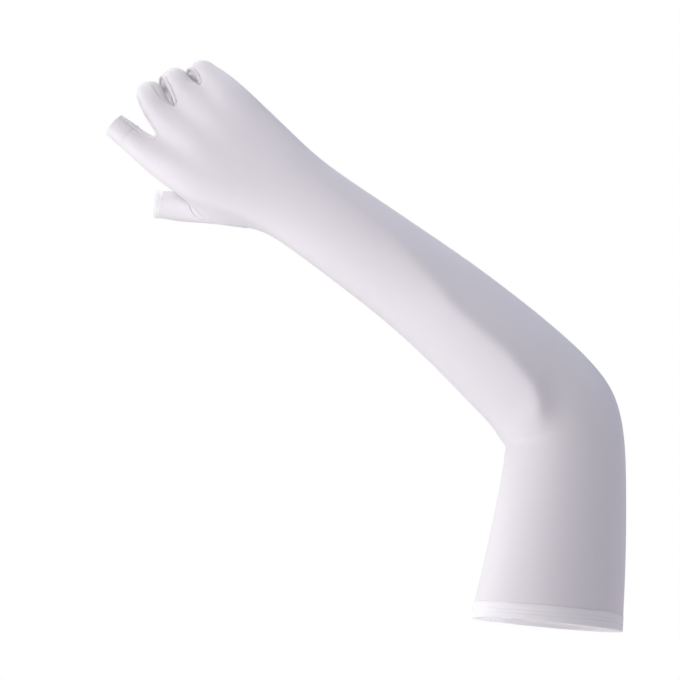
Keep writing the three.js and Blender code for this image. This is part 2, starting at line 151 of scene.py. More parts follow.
# Knuckles under the cloth, by distance along the arm and offset to the thumb side, the valleys between them,
# and how far the cloth must face the back of the hand
KNUCKLES = (
    {"along": 435.5 * MM, "across": 26.6 * MM, "width": 8.0 * MM},
    {"along": 438.5 * MM, "across": 2.2 * MM, "width": 8.5 * MM},
    {"along": 441.0 * MM, "across": -16.7 * MM, "width": 7.5 * MM},
    {"along": 440.0 * MM, "across": -33.3 * MM, "width": 7.0 * MM},
)
VALLEY_SHARE = 0.3
VALLEY_WIDTH = 5.5 * MM
VALLEY_STRETCH = 1.6
BACK_FACING = (0.1, 0.5)

# Crease of the inner elbow: a line in x and z, and the bulge of the forearm over it
CREASE_START = (-36.2 * MM, 112 * MM)
CREASE_END = -12 * MM
CREASE_SLOPE = 0.09
CREASE_WIDTH = 3.0 * MM
BULGE_SHARE = 0.5
BULGE_ABOVE = 8 * MM
BULGE_WIDTH = 7 * MM

# Crest of the forearm muscle on the side of the back of the hand: offset to the thumb side and share of its
# full height, by distance along the arm
CREST = (
    {"along": 122 * MM, "across": 16 * MM, "share": 0.0},
    {"along": 142 * MM, "across": 9 * MM, "share": 0.8},
    {"along": 158 * MM, "across": 1 * MM, "share": 1.0},
    {"along": 184 * MM, "across": -6 * MM, "share": 1.0},
    {"along": 228 * MM, "across": -9 * MM, "share": 0.9},
    {"along": 256 * MM, "across": -16 * MM, "share": 0.75},
    {"along": 292 * MM, "across": -23 * MM, "share": 0.65},
    {"along": 345 * MM, "across": -23 * MM, "share": 0.5},
    {"along": 390 * MM, "across": -16 * MM, "share": 0.0},
)
CREST_ROUND = 4 * MM
CREST_THUMB_SIDE = 30 * MM
CREST_LITTLE_SIDE = 20 * MM

# Hem seam: its height and its waves as count round the arm, phase and share
HEM_SEAM = 7.2 * MM
HEM_RIM = -2.0 * MM
HEM_DEPTH = 43 * MM
HEM_WAVE_REACH = 6 * MM
HEM_WAVES = ((7, 0.4, 0.5), (11, 1.9, 0.4), (17, 3.1, 0.3), (26, 0.8, 0.2))

# Side seam: where it runs along the arm and how far round towards the palm
SIDE_SEAM_RUN = (13.5 * MM, 430 * MM)
SIDE_SEAM_STEP = 2.5 * MM
SIDE_SEAM_ANGLE = math.radians(28)
SIDE_SEAM_SHIFT = 12 * MM
SIDE_SEAM_SHIFT_RUN = (330 * MM, 420 * MM)

# Lines laid onto the cloth, with the points that each gets: the fold where the thumb is set in, over the
# thumb's back to its outer side, and the seam along the back of the index finger from the web to the open end
LAID_POINTS = 24
THUMB_FOLD = (
    (-260.8 * MM, 13.6 * MM, 255.4 * MM),
    (-260.1 * MM, 13.5 * MM, 253.0 * MM),
    (-258.4 * MM, 14.1 * MM, 249.8 * MM),
    (-255.5 * MM, 14.6 * MM, 247.5 * MM),
    (-250.0 * MM, 13.7 * MM, 245.8 * MM),
    (-243.7 * MM, 11.7 * MM, 244.6 * MM),
)
INDEX_SEAM = (
    (-286.9 * MM, -4.3 * MM, 293.1 * MM),
    (-292.8 * MM, -1.2 * MM, 295.4 * MM),
    (-298.7 * MM, 1.4 * MM, 299.6 * MM),
    (-304.5 * MM, 2.4 * MM, 303.4 * MM),
    (-310.4 * MM, 3.4 * MM, 307.2 * MM),
)

# Studio: ways from the sleeve to the lights, and the camera's aim
CAMERA_TARGET = (-151.4 * MM, 0, 171.5 * MM)
CAMERA_RISE = math.radians(-8.5)
CAMERA_ROLL = math.radians(5.5)
OPENING_TARGET = (-38 * MM, 26 * MM, 0.0)
FINGER_TARGET = (-290 * MM, 0, 330 * MM)
LIGHTS = (
    {
        "name": "key_light", "way": (-0.53, -0.79, 0.31), "target": CAMERA_TARGET, "distance": 1.1,
        "size": 0.4, "spread": 180, "power": 4.5, "colour": (1.0, 0.955, 0.965),
    },
    {
        "name": "thumb_light", "way": (-0.64, -0.42, -0.64), "target": CAMERA_TARGET, "distance": 1.1,
        "size": 0.4, "spread": 180, "power": 3.7, "colour": (0.97, 0.92, 1.0),
    },
    {
        "name": "low_light", "way": (-0.71, 0.0, -0.71), "target": CAMERA_TARGET, "distance": 1.1,
        "size": 0.4, "spread": 180, "power": 4.0, "colour": (0.97, 1.0, 0.9),
    },
    {
        "name": "top_light", "way": (0.71, 0.0, 0.71), "target": CAMERA_TARGET, "distance": 1.1,
        "size": 0.4, "spread": 180, "power": 3.1, "colour": (0.72, 0.78, 1.0),
    },
    {
        "name": "elbow_light", "way": (0.71, 0.0, -0.71), "target": CAMERA_TARGET, "distance": 1.1,
        "size": 0.4, "spread": 180, "power": 1.85, "colour": (1.0, 0.85, 0.95),
    },
    {
        "name": "rear_light", "way": (-0.45, 0.42, 0.78), "target": CAMERA_TARGET, "distance": 1.1,
        "size": 0.4, "spread": 180, "power": 5.1, "colour": (0.94, 1.0, 0.93),
    },
    {
        "name": "palm_light", "way": (0.15, 0.95, 0.25), "target": CAMERA_TARGET, "distance": 1.1,
        "size": 0.5, "spread": 180, "power": 2.8, "colour": (1.0, 0.98, 0.97),
    },
    {
        "name": "opening_light", "way": (0.35, -0.3, -0.89), "target": OPENING_TARGET, "distance": 0.6,
        "size": 0.08, "spread": 9, "power": 0.018, "colour": (1.0, 0.98, 1.0),
    },
    {
        "name": "finger_light", "way": (-0.8, -0.45, 0.4), "target": FINGER_TARGET, "distance": 0.6,
        "size": 0.1, "spread": 22, "power": 0.009, "colour": (1.0, 0.98, 0.98),
    },
)
FLOOR_SIZE = 60.0


class SleeveCloth(bpy.types.PropertyGroup):
    """Cloth of the sleeve."""

    thickness: FloatProperty(
        name="Cloth", description="Thickness of the single cloth", default=1.2 * MM, unit="LENGTH"
    )
    doubled: FloatProperty(
        name="Turned hem", description="Thickness of the doubled cloth", default=2.0 * MM, unit="LENGTH"
    )
    doubled_white: FloatVectorProperty(
        name="Hem white", description="Colour of the doubled cloth", subtype="COLOR", size=3,
        default=(0.93, 0.922, 0.95),
    )
    wales: IntProperty(name="Wales", description="Columns of loops round the sleeve", default=720)
    course: FloatProperty(
        name="Course", description="Height of one row of loops", default=0.36 * MM, unit="LENGTH"
    )
    white: FloatVectorProperty(
        name="White", description="Colour of the cloth", subtype="COLOR", size=3,
        default=(0.828, 0.808, 0.848),
    )
    grey: FloatVectorProperty(
        name="Grey", description="Colour where the cloth is thin", subtype="COLOR", size=3,
        default=(0.812, 0.792, 0.832),
    )


class SleeveForm(bpy.types.PropertyGroup):
    """Soft forms of the worn sleeve."""

    knuckle_rise: FloatProperty(
        name="Knuckles", description="Height of the knuckles under the cloth", default=0.5 * MM, unit="LENGTH"
    )
    crease_depth: FloatProperty(
        name="Elbow crease", description="Depth of the inner elbow crease", default=1.0 * MM, unit="LENGTH"
    )
    crest_height: FloatProperty(
        name="Forearm crest", description="Height of the muscle crest along the forearm", default=5.0 * MM,
        unit="LENGTH",
    )
    hem_wave: FloatProperty(
        name="Hem wave", description="Rise and fall of the hem seam", default=0.45 * MM, unit="LENGTH"
    )
    hem_tilt: FloatProperty(
        name="Hem tilt", description="How much lower the hem hangs in front", default=0.4 * MM, unit="LENGTH"
    )
    web_depth: FloatProperty(
        name="Webs", description="How far the cloth sinks in between two fingers", default=3.0 * MM,
        unit="LENGTH",
    )
    seam_sink: FloatProperty(
        name="Seam sink", description="How far the cloth dips at a seam", default=0.08 * MM, unit="LENGTH"
    )


class SleeveSeams(bpy.types.PropertyGroup):
    """Seams and stitches."""

    gap: FloatProperty(
        name="Gap", description="Gap between two sewn edges", default=0.03 * MM, unit="LENGTH"
    )
    welt: FloatProperty(
        name="Welt", description="Radius of a turned seam", default=0.5 * MM, unit="LENGTH"
    )
    finger_welt: FloatProperty(
        name="Finger welt", description="Radius of a finger seam", default=0.3 * MM, unit="LENGTH"
    )
    rolled_welt: FloatProperty(
        name="Rolled edge", description="Radius of a rolled edge on a finger", default=1.2 * MM, unit="LENGTH"
    )
    side_welt: FloatProperty(
        name="Side welt", description="Radius of the side seam", default=0.35 * MM, unit="LENGTH"
    )
    furrow: FloatProperty(
        name="Furrow", description="How far stitches draw the cloth in", default=0.25 * MM, unit="LENGTH"
    )
    stitch: FloatProperty(
        name="Stitch", description="Length of one stitch", default=2.1 * MM, unit="LENGTH"
    )
    pitch: FloatProperty(
        name="Pitch", description="Distance from stitch to stitch", default=2.7 * MM, unit="LENGTH"
    )
    thread: FloatProperty(
        name="Thread", description="Thickness of the thread", default=0.42 * MM, unit="LENGTH"
    )
    thread_white: FloatVectorProperty(
        name="Thread white", description="Colour of the thread", subtype="COLOR", size=3,
        default=(0.86, 0.85, 0.87),
    )


class SleeveStage(bpy.types.PropertyGroup):
    """Floor, light and camera."""

    floor_drop: FloatProperty(
        name="Floor", description="Depth of the floor under the hem", default=0.75, unit="LENGTH"
    )
    floor_white: FloatVectorProperty(
        name="Floor white", description="Colour of the floor", subtype="COLOR", size=3,
        default=(0.86, 0.86, 0.87),
    )
    floor_glow: FloatProperty(
        name="Floor glow", description="Light that the floor gives back to the camera", default=0.55
    )
    brightness: FloatProperty(name="Brightness", description="Share of the power of all lights", default=0.99)
    ambient: FloatProperty(name="Ambient", description="Strength of the light all round", default=0.3)
    ambient_colour: FloatVectorProperty(
        name="Ambient colour", description="Colour of the light all round", subtype="COLOR", size=3,
        default=(0.96, 0.95, 1.0),
    )
    camera_distance: FloatProperty(
        name="Camera", description="Distance of the camera", default=1.9, unit="LENGTH"
    )
    picture_width: FloatProperty(
        name="Picture", description="Width that the picture takes in", default=680 * 0.66 * MM, unit="LENGTH"
    )


def arm_coordinates(points):
    """Distance along the line of the arm and offset to the thumb side."""
    x, z = points[:, 0], points[:, 2]
    turn = np.arctan2(z - UPPER_ARM, x + ELBOW_RADIUS)
    past = points - ELBOW_END
    on_upper_arm = turn <= 0
    on_elbow = turn < ELBOW_ANGLE
    along = np.where(on_elbow, UPPER_ARM + ELBOW_RADIUS * turn, UPPER_ARM + ELBOW_LENGTH + past @ FOREARM_WAY)
    across = np.where(on_elbow, ELBOW_RADIUS - np.hypot(x + ELBOW_RADIUS, z - UPPER_ARM), past @ THUMB_WAY)
    along = np.where(on_upper_arm, z, along)
    across = np.where(on_upper_arm, -x, across)
    return along, across


def smooth(value, start, end):
    """Smooth step from 0 at start to 1 at end."""
    share = np.clip((value - start) / (end - start), 0, 1)
    return share * share * (3 - 2 * share)


def bell(distance, width):
    """Bell curve that is 1 at no distance."""
    return np.exp(-((distance / width) ** 2))


def deselect():
    """Leaves object mode with nothing selected."""
    if bpy.context.mode != "OBJECT":
        bpy.ops.object.mode_set(mode="OBJECT")
    bpy.ops.object.select_all(action="DESELECT")


def activate(piece):
    """Makes one object the only selected and active one."""
    deselect()
    piece.select_set(True)
    bpy.context.view_layer.objects.active = piece


def new_object(name, mesh):
    """Puts a mesh into the scene as an object at the origin."""
    piece = bpy.data.objects.new(name, mesh)
    bpy.context.scene.collection.objects.link(piece)
    return piece


def apply_modifier(piece, kind, **settings):
    """Adds a modifier with its settings and applies it."""
    activate(piece)
    modifier = piece.modifiers.new(kind.title(), kind)
    for name, value in settings.items():
        setattr(modifier, name, value)
    bpy.ops.object.modifier_apply(modifier=modifier.name)


def points_of(mesh):
    """Places of a mesh's points as rows."""
    places = np.empty(len(mesh.vertices) * 3)
    mesh.vertices.foreach_get("co", places)
    return places.reshape(-1, 3)


def normals_of(mesh):
    """Normals of a mesh's points as rows."""
    ways = np.empty(len(mesh.vertices) * 3)
    mesh.vertex_normals.foreach_get("vector", ways)
    return ways.reshape(-1, 3)


def set_points(mesh, places):
    """Moves a mesh's points."""
    mesh.vertices.foreach_set("co", places.ravel())
    mesh.update()


def tree_of(mesh):
    """Search tree of a mesh's faces."""
    whole = bmesh.new()
    whole.from_mesh(mesh)
    tree = BVHTree.FromBMesh(whole)
    whole.free()
    return tree


def add_solid(whole, panel):
    """Adds a panel's solid to a mesh being made."""
    solid = bmesh.new()
    solid.from_mesh(frame["nodes"][panel["node"]].data)
    bmesh.ops.remove_doubles(solid, verts=solid.verts, dist=SAME_POINT)
    for face in solid.faces:
        face.material_index = NUMBER[panel["node"]]
    part = bpy.data.meshes.new(panel["node"])
    solid.to_mesh(part)
    solid.free()
    whole.from_mesh(part)
    bpy.data.meshes.remove(part)


def hem_walls(whole):
    """Walls of the turned hems: behind these faces the solid is deeper than its cloth is thick."""
    tree = BVHTree.FromBMesh(whole)
    walls = []
    for face in whole.faces:
        start = face.calc_center_median() - face.normal * SAME_POINT
        deep = tree.ray_cast(start, -face.normal, HEM_SOLID * WALL_SHARE)[0] is None
        if deep and PANELS[face.material_index]["layers"] == 2:
            walls.append(face)
    return walls


def seam_partners(whole):
    """For each point on the sharp edge of a panel, its partner across the seam gap in an earlier panel."""
    sharp = [edge for edge in whole.edges if edge.calc_face_angle(0) > SHARP_EDGE]
    points = list(dict.fromkeys(point for edge in sharp for point in edge.verts))
    tree = KDTree(len(points))
    for index, point in enumerate(points):
        tree.insert(point.co, index)
    tree.balance()
    partners = {}
    for point in points:
        number = point.link_faces[0].material_index
        near = [(far, points[index]) for _, index, far in tree.find_range(point.co, SEAM_REACH)]
        near = [(far, other) for far, other in near if other.link_faces[0].material_index < number]
        if near:
            other = min(near, key=lambda pair: pair[0])[1]
            partners[point] = partners.get(other, other)
    return partners


def weld_seams(whole):
    """Joins the panels across their seam gaps and takes out the walls that face each other there."""
    whole.normal_update()
    targets = seam_partners(whole)
    corners = {face: frozenset(targets.get(point, point) for point in face.verts) for face in whole.faces}
    uses = Counter(corners.values())
    walls = {face for face in whole.faces if uses[corners[face]] > 1}
    walls.update(hem_walls(whole))
    groups = {}
    for point, target in targets.items():
        groups.setdefault(target, [target]).append(point)
    for target, group in groups.items():
        target.co = sum((point.co for point in group), Vector()) / len(group)
    bmesh.ops.delete(whole, geom=list(walls), context="FACES")
    bmesh.ops.weld_verts(whole, targetmap=targets)


def keep_outer_skin(whole):
    """Deletes the inner skin, which is the smaller of the two."""
    left = set(whole.faces)
    skins = []
    while left:
        skin = {left.pop()}
        front = list(skin)
        while front:
            for edge in front.pop().edges:
                new = [face for face in edge.link_faces if face in left]
                left.difference_update(new)
                skin.update(new)
                front.extend(new)
        skins.append(skin)
    outer = max(skins, key=lambda skin: sum(face.calc_area() for face in skin))
    inner = [face for face in whole.faces if face not in outer]
    bmesh.ops.delete(whole, geom=inner, context="FACES")


def lay_knit(whole, cloth):
    """Gives the skin a UV map in loops: U counts wales round the sleeve, V counts courses from the hem."""
    hem = [point for point in whole.verts if point.is_boundary and point.co.z < UPPER_ARM / 2]
    rows, columns, front = {}, {}, []
    for point in hem:
        turn = math.atan2(-point.co.y, point.co.x) - math.radians(200)
        columns[point.index] = (turn / (2 * math.pi)) % 1.0 * cloth.wales
        rows[point.index] = 0.0
        front.append((0.0, point.index))
    heapq.heapify(front)
    while front:
        row, index = heapq.heappop(front)
        if row > rows[index]:
            continue
        for edge in whole.verts[index].link_edges:
            other = edge.other_vert(whole.verts[index])
            way = row + edge.calc_length()
            if way < rows.get(other.index, math.inf):
                rows[other.index] = way
                columns[other.index] = columns[index]
                heapq.heappush(front, (way, other.index))
    layer = whole.loops.layers.uv.new("knit")
    for face in whole.faces:
        around = [columns[loop.vert.index] for loop in face.loops]
        wraps = max(around) - min(around) > cloth.wales / 2
        for loop, column in zip(face.loops, around):
            lifted = column + cloth.wales if wraps and column < cloth.wales / 2 else column
            loop[layer].uv = (lifted, rows[loop.vert.index] / cloth.course)


def make_skin(cloth):
    """One fine smooth skin over all the solids. Its material numbers tell the panels apart."""
    whole = bmesh.new()
    for panel in PANELS:
        add_solid(whole, panel)
    weld_seams(whole)
    keep_outer_skin(whole)
    bmesh.ops.join_triangles(
        whole, faces=whole.faces, cmp_materials=True,
        angle_face_threshold=math.pi, angle_shape_threshold=math.pi,
    )
    whole.verts.index_update()
    whole.verts.ensure_lookup_table()
    lay_knit(whole, cloth)
    mesh = bpy.data.meshes.new("whole_skin")
    whole.to_mesh(mesh)
    whole.free()
    for panel in PANELS:
        mesh.materials.append(bpy.data.materials.new(panel["piece"] + "_mark"))
    skin = new_object("whole_skin", mesh)
    apply_modifier(skin, "SUBSURF", levels=SKIN_LEVELS, render_levels=SKIN_LEVELS)
    return skin


def part_skin(skin, number):
    """Mesh of one panel cut out of the skin, and the skin points where the cloth ends in the open."""
    whole = bmesh.new()
    whole.from_mesh(skin.data)
    rims = {point for point in whole.verts if point.is_boundary}
    others = [face for face in whole.faces if face.material_index != number]
    bmesh.ops.delete(whole, geom=others, context="FACES")
    rims = {point for point in rims if point.is_valid}
    return whole, rims


def pull_back(panel, rims, distance):
    """Moves the sewn edges of a panel back from the seam, within the cloth."""
    moves = {}
    for point in panel.verts:
        if not point.is_boundary or point in rims:
            continue
        inner = [edge.other_vert(point) for edge in point.link_edges if not edge.is_boundary]
        if inner:
            way = sum((other.co - point.co for other in inner), Vector()).normalized()
            moves[point] = way * distance
    for point, move in moves.items():
        point.co += move


def cut_panel(skin, panel, seams):
    """One panel of cloth as a single sheet, with its sewn edges a little apart from its neighbours."""
    sheet, rims = part_skin(skin, NUMBER[panel["node"]])
    pull_back(sheet, rims, seams.gap / 2)
    for face in sheet.faces:
        face.material_index = 0
        face.smooth = True
    mesh = bpy.data.meshes.new(panel["piece"])
    sheet.to_mesh(mesh)
    sheet.free()
    return new_object(panel["piece"], mesh)


def thicken(piece, thickness, edge_round):
    """Gives a sheet its wall towards the inside, with rounded edges."""
    apply_modifier(piece, "SOLIDIFY", thickness=thickness, offset=-1, use_rim=True)
    apply_modifier(
        piece, "BEVEL", width=edge_round, segments=2, limit_method="ANGLE", angle_limit=math.radians(50)
    )
    activate(piece)
    bpy.ops.object.shade_smooth_by_angle(angle=math.radians(60))


def dress(piece, panel, material):
    """Hands a finished panel over: its finish, the body it rides on and its solid, which it hides."""
    piece.data.materials.clear()
    piece.data.materials.append(material)
    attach(piece, "root")
    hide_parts(panel["node"])


def rim_loops(skin):
    """Open ends of the sleeve: for each, its rim points, its middle and the way into the sleeve."""
    whole = bmesh.new()
    whole.from_mesh(skin.data)
    left = {point for point in whole.verts if point.is_boundary}
    loops = []
    while left:
        front = [left.pop()]
        loop = list(front)
        while front:
            for edge in front.pop().link_edges:
                new = [point for point in edge.verts if point in left] if edge.is_boundary else []
                left.difference_update(new)
                loop.extend(new)
                front.extend(new)
        numbers = {face.material_index for point in loop for face in point.link_faces}
        rim = np.array([point.co for point in loop])
        middle = rim.mean(axis=0)
        inner = np.array([edge.other_vert(point).co for point in loop for edge in point.link_edges])
        way = np.linalg.svd(rim - middle)[2][2]
        way *= np.sign((inner.mean(axis=0) - middle) @ way)
        loops.append({"number": min(numbers), "rim": rim, "middle": middle, "way": way})
    whole.free()
    return {PANELS[loop["number"]]["node"]: loop for loop in loops}


def shape_hem(piece, loop, panel, depth):
    """Puffs a turned hem out between its seam and its rim, and draws it in along its stitch rows."""
    mesh = piece.data
    points = points_of(mesh)
    normals = normals_of(mesh)
    reach = (points - loop["middle"]) @ loop["way"]
    seam = reach.max()
    rise = panel["rise"] * smooth(seam - reach, 0, HEM_ROLL)
    for row in panel["rows"]:
        rise -= depth * bell(reach - row, STITCH_FURROW)
    set_points(mesh, points + normals * rise[:, None])


def seam_chains(skin):
    """Seam lines of the skin: for each pair of panels the rows of points, with their normals."""
    whole = bmesh.new()
    whole.from_mesh(skin.data)
    pairs = {}
    for edge in whole.edges:
        numbers = frozenset(face.material_index for face in edge.link_faces)
        if len(numbers) == 2:
            pairs.setdefault(numbers, set()).add(edge)
    chains = []
    for numbers, edges in pairs.items():
        uses = Counter(point for edge in edges for point in edge.verts)
        while edges:
            ends = [point for edge in edges for point in edge.verts if uses[point] == 1]
            start = ends[0] if ends else next(iter(edges)).verts[0]
            chain = [start]
            while True:
                step = next((edge for edge in chain[-1].link_edges if edge in edges), None)
                if step is None:
                    break
                edges.discard(step)
                uses.subtract(step.verts)
                chain.append(step.other_vert(chain[-1]))
            closed = len(chain) > 2 and chain[0] is chain[-1]
            points = chain[:-1] if closed else chain
            chains.append({
                "panels": {PANELS[number]["node"] for number in numbers},
                "points": np.array([point.co for point in points]),
                "normals": np.array([point.normal for point in points]),
                "closed": closed,
            })
    whole.free()
    return chains


def side_runs(chain, way):
    """Stretches of a seam line where the cloth of a finger's back turns over to one side."""
    points, normals = chain["points"], chain["normals"]
    faces = (normals @ way > ROLLED_SIDE) & (normals[:, 1] < ROLLED_BACK)
    if chain["closed"] and not faces.all():
        start = int(np.argmin(faces))
        points, normals, faces = (np.roll(rows, -start, axis=0) for rows in (points, normals, faces))
    ends = np.flatnonzero(np.diff(np.concatenate([[0], faces.astype(int), [0]])))
    runs = [slice(*pair) for pair in ends.reshape(-1, 2) if pair[1] - pair[0] > ROLLED_POINTS]
    return [{"points": points[run], "normals": normals[run], "closed": False} for run in runs]


def crest(along, across):
    """Share of the forearm crest's height: a rounded roof that runs out flat on both sides."""
    stations = [row["along"] for row in CREST]
    off = across - np.interp(along, stations, [row["across"] for row in CREST])
    reach = np.where(off > 0, CREST_THUMB_SIDE, CREST_LITTLE_SIDE)
    roof = np.clip(1 - np.hypot(off, CREST_ROUND) / reach, 0, 1) ** 2
    return roof / (1 - CREST_ROUND / reach) ** 2 * np.interp(along, stations, [row["share"] for row in CREST])


def points_in(mesh, nodes):
    """1 for each point that lies in one of the panels, else 0."""
    inside = np.zeros(len(mesh.vertices))
    numbers = {NUMBER[node] for node in nodes}
    for face in mesh.polygons:
        if face.material_index in numbers:
            inside[list(face.vertices)] = 1
    return inside


def knuckles(along, across):
    """Share of the knuckles' height under the cloth, with shallow valleys between them."""
    rise = np.zeros(len(along))
    for first, second in zip(KNUCKLES, KNUCKLES[1:] + (None,)):
        far = np.hypot(along - first["along"], across - first["across"])
        rise += bell(far, first["width"])
        if second:
            middle = [(first[name] + second[name]) / 2 for name in ("along", "across")]
            far = np.hypot((along - middle[0]) / VALLEY_STRETCH, across - middle[1])
            rise -= VALLEY_SHARE * bell(far, VALLEY_WIDTH)
    return rise


def elbow_crease(points):
    """Share of the inner elbow's crease depth: the dip along its line, and the forearm's bulge over it."""
    x, z = points[:, 0], points[:, 2]
    above = z - (CREASE_START[1] + CREASE_SLOPE * (x - CREASE_START[0]))
    dip = bell(above, CREASE_WIDTH)
    bulge = BULGE_SHARE * bell(above - BULGE_ABOVE, BULGE_WIDTH)
    return (bulge - dip) * smooth(x, CREASE_END, CREASE_START[0])


def seam_distance(skin, points):
    """Distance of each point from the nearest seam."""
    seams = np.vstack([chain["points"] for chain in seam_chains(skin)])
    tree = KDTree(len(seams))
    for index, place in enumerate(seams):
        tree.insert(place, index)
    tree.balance()
    return np.array([tree.find(place)[2] for place in points])


def hem_shift(points, form):
    """How far up the hem's cloth moves: the waves of its seam and the tilt of its rim."""
    x, y, z = points.T
    turn = np.arctan2(y, x)
    wave = sum(share * np.sin(count * turn + phase) for count, phase, share in HEM_WAVES)
    near = bell(z - HEM_SEAM, HEM_WAVE_REACH) * smooth(z, HEM_RIM, HEM_SEAM)
    return form.hem_wave * wave * near + form.hem_tilt * y / HEM_DEPTH * smooth(z, HEM_SEAM, HEM_RIM)


def sculpt_skin(skin, form):
    """Pushes and pulls the soft forms of the worn cloth into the smooth skin."""
    mesh = skin.data
    points = points_of(mesh)
    normals = normals_of(mesh)
    along, across = arm_coordinates(points)
    back = smooth(-normals[:, 1], *BACK_FACING)
    rise = (form.knuckle_rise * knuckles(along, across) + form.crest_height * crest(along, across)) * back
    rise += form.crease_depth * elbow_crease(points)
    far = seam_distance(skin, points)
    rise -= form.seam_sink * bell(far, SEAM_DIP)
    facing = smooth(np.abs(normals @ THUMB_WAY), *WEB_FACING)
    rise -= form.web_depth * points_in(mesh, FOURCHETTES[1:]) * smooth(far, *WEB_EDGE) * facing
    moved = points + normals * rise[:, None]
    moved[:, 2] += hem_shift(points, form)
    set_points(mesh, moved)


def tube(name, lines, radius, lift):
    """A thin round welt along seam lines, as a mesh."""
    curve = bpy.data.curves.new(name, "CURVE")
    curve.dimensions = "3D"
    curve.bevel_depth = radius
    curve.bevel_resolution = 2
    curve.use_fill_caps = True
    for line in lines:
        places = line["points"] + line["normals"] * lift
        spline = curve.splines.new("POLY")
        spline.points.add(len(places) - 1)
        spline.points.foreach_set("co", np.hstack([places, np.ones((len(places), 1))]).ravel())
        spline.use_cyclic_u = line["closed"]
    piece = new_object(name, curve)
    activate(piece)
    bpy.ops.object.convert(target="MESH")
    piece = bpy.context.active_object
    bpy.ops.object.shade_smooth()
    return piece


def arm_point(along):
    """Middle of the arm at a distance along it, with the way to the thumb side there."""
    turn = min(max((along - UPPER_ARM) / ELBOW_RADIUS, 0.0), ELBOW_ANGLE)
    thumb = np.array((-math.cos(turn), 0.0, -math.sin(turn)))
    forward = np.array((-math.sin(turn), 0.0, math.cos(turn)))
    straight = min(along - UPPER_ARM, 0.0) + max(along - UPPER_ARM - ELBOW_LENGTH, 0.0)
    return ELBOW_CENTRE - thumb * ELBOW_RADIUS + forward * straight, thumb


def side_seam(skin):
    """Long seam down the little finger side, just round the corner on the side of the palm."""
    tree = tree_of(skin.data)
    points, normals = [], []
    for along in np.arange(*SIDE_SEAM_RUN, SIDE_SEAM_STEP):
        middle, thumb = arm_point(along)
        start = middle - thumb * SIDE_SEAM_SHIFT * smooth(along, *SIDE_SEAM_SHIFT_RUN)
        way = -thumb * math.cos(SIDE_SEAM_ANGLE) + np.array((0, math.sin(SIDE_SEAM_ANGLE), 0))
        place, normal, _, _ = tree.ray_cast(Vector(start), Vector(way))
        if place is None:
            raise RuntimeError("the side seam misses the cloth")
        points.append(place)
        normals.append(normal)
    return {"points": np.array(points), "normals": np.array(normals), "closed": False}


def laid_line(skin, stations):
    """A line through some stations, laid onto the cloth."""
    tree = tree_of(skin.data)
    steps = np.linspace(0, len(stations) - 1, LAID_POINTS)
    line = np.transpose([np.interp(steps, range(len(stations)), axis) for axis in np.transpose(stations)])
    found = [tree.find_nearest(Vector(place)) for place in line]
    points, normals = (np.array([row[column] for row in found]) for column in (0, 1))
    return {"points": points, "normals": normals, "closed": False}


def model_stitch(seams):
    """One stitch of thread along its own Z, a slim capsule."""
    deselect()
    bpy.ops.mesh.primitive_uv_sphere_add(segments=8, ring_count=5, radius=seams.thread / 2)
    stitch = bpy.context.active_object
    half = (seams.stitch - seams.thread) / 2
    for side in (1, -1):
        bpy.ops.object.mode_set(mode="OBJECT")
        for point in stitch.data.vertices:
            point.select = point.co.z * side > 0
        bpy.ops.object.mode_set(mode="EDIT")
        bpy.ops.mesh.select_mode(type="VERT")
        bpy.ops.transform.translate(value=(0, 0, side * half))
    deselect()
    return stitch


def stitch_row(piece, loop, reach, seams):
    """Places of the stitches of one row round a turned hem: points, ways along and normals."""
    tree = tree_of(piece.data)
    middle = loop["middle"] + loop["way"] * reach
    radius = np.linalg.norm(loop["rim"] - loop["middle"], axis=1).max() * 1.5
    side = np.linalg.svd(loop["rim"] - loop["middle"])[2][0]
    other = np.cross(loop["way"], side)
    ring, normals = [], []
    for turn in np.linspace(0, 2 * math.pi, ROW_SAMPLES, endpoint=False):
        way = side * math.cos(turn) + other * math.sin(turn)
        place, normal, _, _ = tree.ray_cast(Vector(middle + way * radius), Vector(-way))
        if place is not None:
            ring.append(place)
            normals.append(normal)
    ring, normals = np.array(ring), np.array(normals)
    steps = np.linalg.norm(np.roll(ring, -1, axis=0) - ring, axis=1)
    walked = np.concatenate([[0], np.cumsum(steps)])
    count = int(walked[-1] / seams.pitch)
    wanted = np.arange(count) * walked[-1] / count
    index = np.searchsorted(walked, wanted, side="right") - 1
    share = ((wanted - walked[index]) / steps[index])[:, None]
    after = (index + 1) % len(ring)
    places = ring[index] * (1 - share) + ring[after] * share
    return places, ring[after] - ring[index], normals[index]


def sew_rows(name, stitch, rows, sink):
    """All stitches of some rows as one joined mesh."""
    shape = points_of(stitch.data)
    faces = [list(face.vertices) for face in stitch.data.polygons]
    points, joined = [], []
    for places, ways, normals in rows:
        for place, way, normal in zip(places, ways, normals):
            way = way / np.linalg.norm(way)
            normal = normal / np.linalg.norm(normal)
            axes = np.array((normal, np.cross(way, normal), way))
            start = len(points) * len(shape)
            points.append(place + normal * sink + shape @ axes)
            joined.extend([[start + corner for corner in face] for face in faces])
    mesh = bpy.data.meshes.new(name)
    mesh.from_pydata(np.vstack(points).tolist(), [], joined)
    piece = new_object(name, mesh)
    activate(piece)
    bpy.ops.object.shade_smooth()
    return piece


def add_node(tree, kind, **settings):
    """Adds a node with its settings."""
    node = tree.nodes.new(kind)
    for name, value in settings.items():
        setattr(node, name, value)
    return node


def calculate(tree, operation, first, second=None):
    """Adds a maths node fed by sockets or numbers and returns its output."""
    node = add_node(tree, "ShaderNodeMath", operation=operation)
    for socket, value in zip(node.inputs, (first, second)):
        if isinstance(value, bpy.types.NodeSocket):
            tree.links.new(value, socket)
        elif value is not None:
            socket.default_value = value
    return node.outputs[0]


